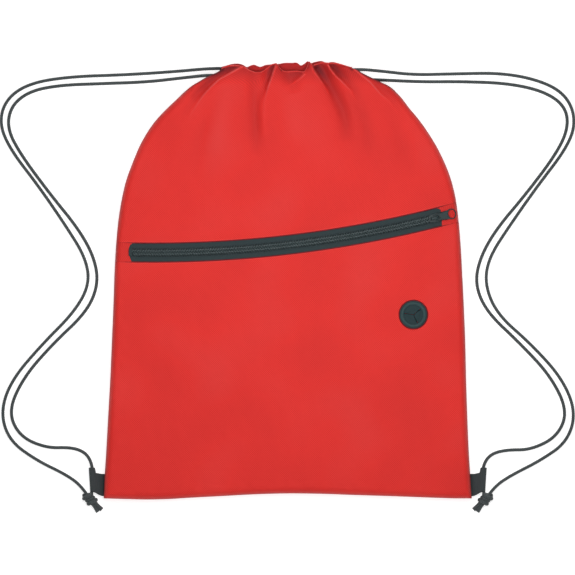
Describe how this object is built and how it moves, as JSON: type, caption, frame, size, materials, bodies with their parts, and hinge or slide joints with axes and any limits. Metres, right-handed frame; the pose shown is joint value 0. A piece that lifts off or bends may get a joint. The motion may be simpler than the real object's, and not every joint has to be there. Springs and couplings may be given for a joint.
{
  "type": "drawstring backpack",
  "caption": "Cloth drawstring backpack lying on its back, with a gathered mouth, cord shoulder loops knotted through corner tabs, a curved zipped front pocket and an earbud port.",
  "frame": {"origin": "below the middle of the bag, on the surface that its back panel lies on", "axes": "+X to the right as the front is seen, +Y from the bottom seam to the gathered mouth, +Z out of the front panel"},
  "size_m": [0.5589, 0.4406, 0.0284],
  "materials": {
    "red_fabric": "matte woven polyester",
    "zipper_tape": "matte woven tape",
    "zipper_coil": "satin nylon coil",
    "slider_enamel": "semi-gloss enamel",
    "port_rubber": "matte moulded rubber",
    "webbing": "matte grosgrain webbing",
    "drawcord": "matte braided cord"
  },
  "bodies": {
    "root": {"back_panel": "red_fabric", "front_upper_panel": "red_fabric", "front_pocket_panel": "red_fabric", "zipper_end_left": "red_fabric", "zipper_end_right": "red_fabric", "pocket_backing": "red_fabric", "zipper_tape_upper": "zipper_tape", "zipper_tape_lower": "zipper_tape", "zipper_coil_upper": "zipper_coil", "zipper_coil_lower": "zipper_coil", "zipper_bottom_stop": "zipper_coil", "zipper_top_stops": "zipper_coil", "earbud_port": "port_rubber", "port_backing_ring": "port_rubber", "tab_left": "webbing", "tab_right": "webbing", "cord_left": "drawcord", "cord_right": "drawcord", "knot_left": "drawcord", "knot_right": "drawcord"},
    "slider": {"slider_body": "slider_enamel"},
    "pull_tab": {"pull_tab": "slider_enamel"},
    "flap_1": {"port_flap_1": "port_rubber"},
    "flap_2": {"port_flap_2": "port_rubber"},
    "flap_3": {"port_flap_3": "port_rubber"}
  },
  "joints": [
    {"name": "zip_run", "type": "hinge", "parent": "root", "child": "slider", "pos_m": [-0.1298, 1.1506, 0.0212], "axis": [0, 0, 1], "range_deg": [-14.74, 0]},
    {"name": "pull_flip", "type": "hinge", "parent": "slider", "child": "pull_tab", "pos_m": [0.1419, 0.05993, 0.0264], "axis": [0.2417, -0.9703, 0], "range_deg": [0, 180]},
    {"name": "flap_1_bend", "type": "hinge", "parent": "root", "child": "flap_1", "pos_m": [0.12049, -0.0299, 0.0222], "axis": [0.9659, 0.2588, 0], "range_deg": [0, 60], "stiffness_Nm_per_rad": 0.001},
    {"name": "flap_2_bend", "type": "hinge", "parent": "root", "child": "flap_2", "pos_m": [0.12685, -0.03461, 0.0222], "axis": [-0.2334, -0.9724, 0], "range_deg": [0, 60], "stiffness_Nm_per_rad": 0.001},
    {"name": "flap_3_bend", "type": "hinge", "parent": "root", "child": "flap_3", "pos_m": [0.11885, -0.03675, 0.0222], "axis": [-0.8039, 0.5948, 0], "range_deg": [0, 60], "stiffness_Nm_per_rad": 0.001}
  ]
}
